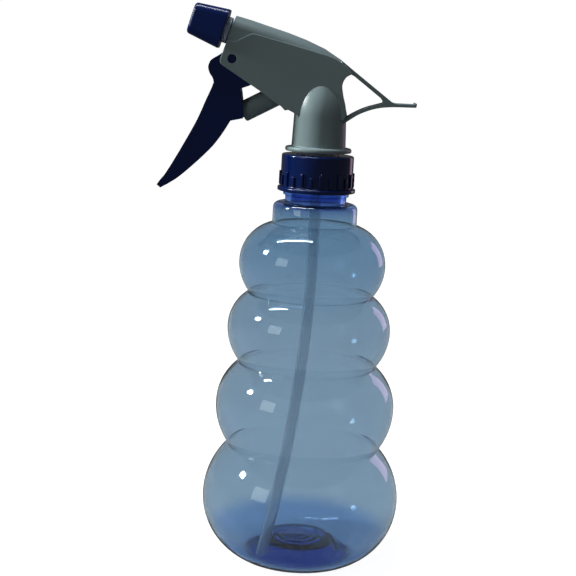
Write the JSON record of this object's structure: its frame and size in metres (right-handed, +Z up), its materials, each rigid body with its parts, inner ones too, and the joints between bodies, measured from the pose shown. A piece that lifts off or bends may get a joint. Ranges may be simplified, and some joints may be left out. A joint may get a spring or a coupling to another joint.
{
  "type": "trigger spray bottle",
  "caption": "Hand trigger sprayer with a turning nozzle, screwed on a tall bulged clear blue bottle with a bent dip tube.",
  "frame": {"origin": "centre of the object's bounding box, in the plane that the bottle's standing ring rests on", "axes": "+Z up along the bottle's axis; the nozzle and the trigger point toward -X; the symmetry plane of the sprayer is XZ"},
  "size_m": [0.1116, 0.087, 0.2408],
  "materials": {
    "pet": "clear gloss, blow-moulded PET tinted blue",
    "navy": "satin gloss, moulded polypropylene",
    "grey": "satin, moulded polypropylene",
    "natural": "satin, uncoloured polypropylene",
    "tube": "satin, extruded polyethylene",
    "rubber": "matt, soft seal",
    "steel": "bright stainless steel"
  },
  "bodies": {
    "bottle": {"bottle": "pet"},
    "head": {"shroud": "grey", "pump_body": "natural", "neck_gasket": "rubber", "tube_adapter": "natural", "ball_cage": "natural", "dip_tube": "tube", "cylinder_gland": "natural", "return_spring": "steel", "spout": "natural", "swirl_core": "natural", "outlet_spring": "steel"},
    "collar": {"closure_collar": "navy"},
    "trigger": {"trigger": "navy"},
    "piston": {"piston": "grey", "piston_seal": "rubber"},
    "inlet_ball": {"inlet_ball": "steel"},
    "outlet_valve": {"outlet_valve": "rubber"},
    "nozzle_carrier": {"nozzle_seal": "rubber"},
    "nozzle_cap": {"nozzle_cap": "navy"}
  },
  "joints": [
    {"name": "head_lift", "type": "slide", "parent": "bottle", "child": "head", "axis": [0, 0, 1], "range_m": [0, 0.0063]},
    {"name": "collar_turn", "type": "hinge", "parent": "head", "child": "collar", "pos_m": [0.01238, 0, 0.1788], "axis": [0, 0, 1], "range_deg": [0, 540]},
    {"name": "piston_slide", "type": "slide", "parent": "head", "child": "piston", "axis": [0.8746, 0, 0.4848], "range_m": [0, 0.00827], "stiffness_N_per_m": 512, "springref_m": -0.00717, "deforming": ["return_spring"]},
    {"name": "trigger_pivot", "type": "hinge", "parent": "head", "child": "trigger", "pos_m": [-0.02593, 0, 0.2184], "axis": [0, -1, 0], "range_deg": [0, 20]},
    {"name": "inlet_ball_lift", "type": "slide", "parent": "head", "child": "inlet_ball", "axis": [0, 0, 1], "range_m": [0, 0.0012]},
    {"name": "outlet_valve_slide", "type": "slide", "parent": "head", "child": "outlet_valve", "axis": [-0.9593, 0, 0.2823], "range_m": [0, 0.001], "stiffness_N_per_m": 60, "springref_m": -0.002, "deforming": ["outlet_spring"]},
    {"name": "nozzle_advance", "type": "slide", "parent": "head", "child": "nozzle_carrier", "axis": [-0.9593, 0, 0.2823], "range_m": [0, 0.0024]},
    {"name": "nozzle_turn", "type": "hinge", "parent": "nozzle_carrier", "child": "nozzle_cap", "pos_m": [-0.02983, 0, 0.2305], "axis": [-0.9593, 0, 0.2823], "range_deg": [0, 360]}
  ],
  "couplings": [
    {"joint": "collar_turn", "follows": "head_lift", "rad_per_m": 1496},
    {"joint": "trigger_pivot", "follows": "piston_slide", "rad_per_m": 42.194},
    {"joint": "nozzle_turn", "follows": "nozzle_advance", "rad_per_m": 2618}
  ]
}
